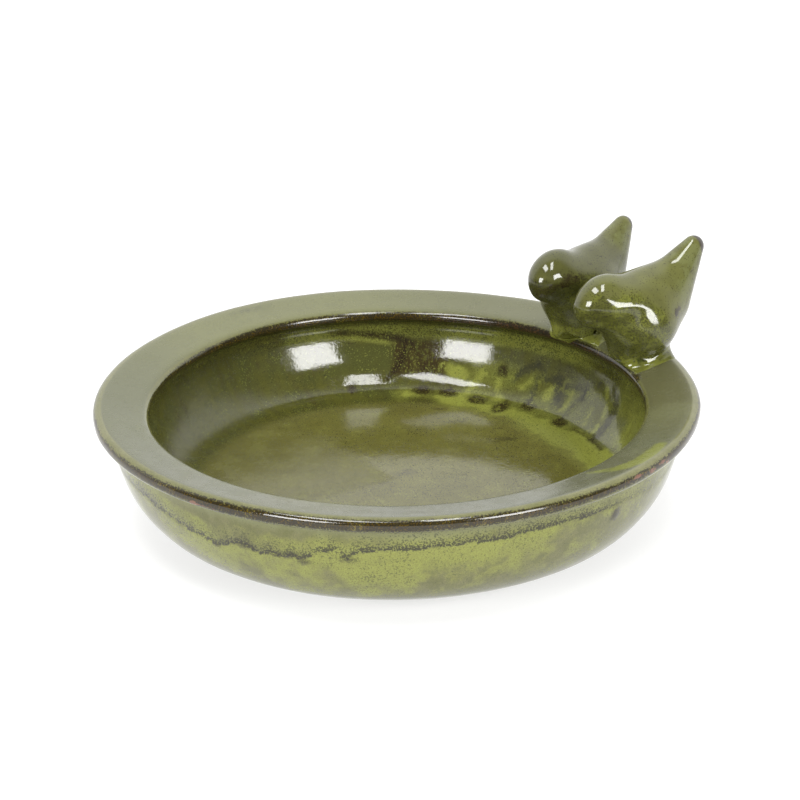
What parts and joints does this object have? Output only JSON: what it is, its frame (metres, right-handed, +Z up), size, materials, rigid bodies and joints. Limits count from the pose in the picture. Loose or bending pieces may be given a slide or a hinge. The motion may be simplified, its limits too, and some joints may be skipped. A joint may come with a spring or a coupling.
{
  "type": "ceramic bird bath",
  "caption": "Round shallow glazed ceramic bird bath dish with a wide flat rim and small stylised birds perched on one side of the rim.",
  "frame": {"origin": "centre of the foot ring, on the plane the dish rests on", "axes": "+Z up along the dish's axis; the birds stand on the +X +Y side of the rim; -Y faces the camera of the picture"},
  "size_m": [0.2882, 0.28, 0.1157],
  "materials": {
    "bowl_glaze": "glossy reactive glaze, olive to lime green with dark speckle, pale sage on the rim, breaking brown on the edges",
    "bird_glaze": "glossy reactive glaze, grey olive above and dark speckled green below",
    "pooled_glaze": "thick glossy lime glaze pooled over the joint"
  },
  "bodies": {
    "root": {"bowl": "bowl_glaze", "bird_front": "bird_glaze", "bird_rear": "bird_glaze", "slip_joint_front": "pooled_glaze", "slip_joint_rear": "pooled_glaze"}
  },
  "joints": []
}
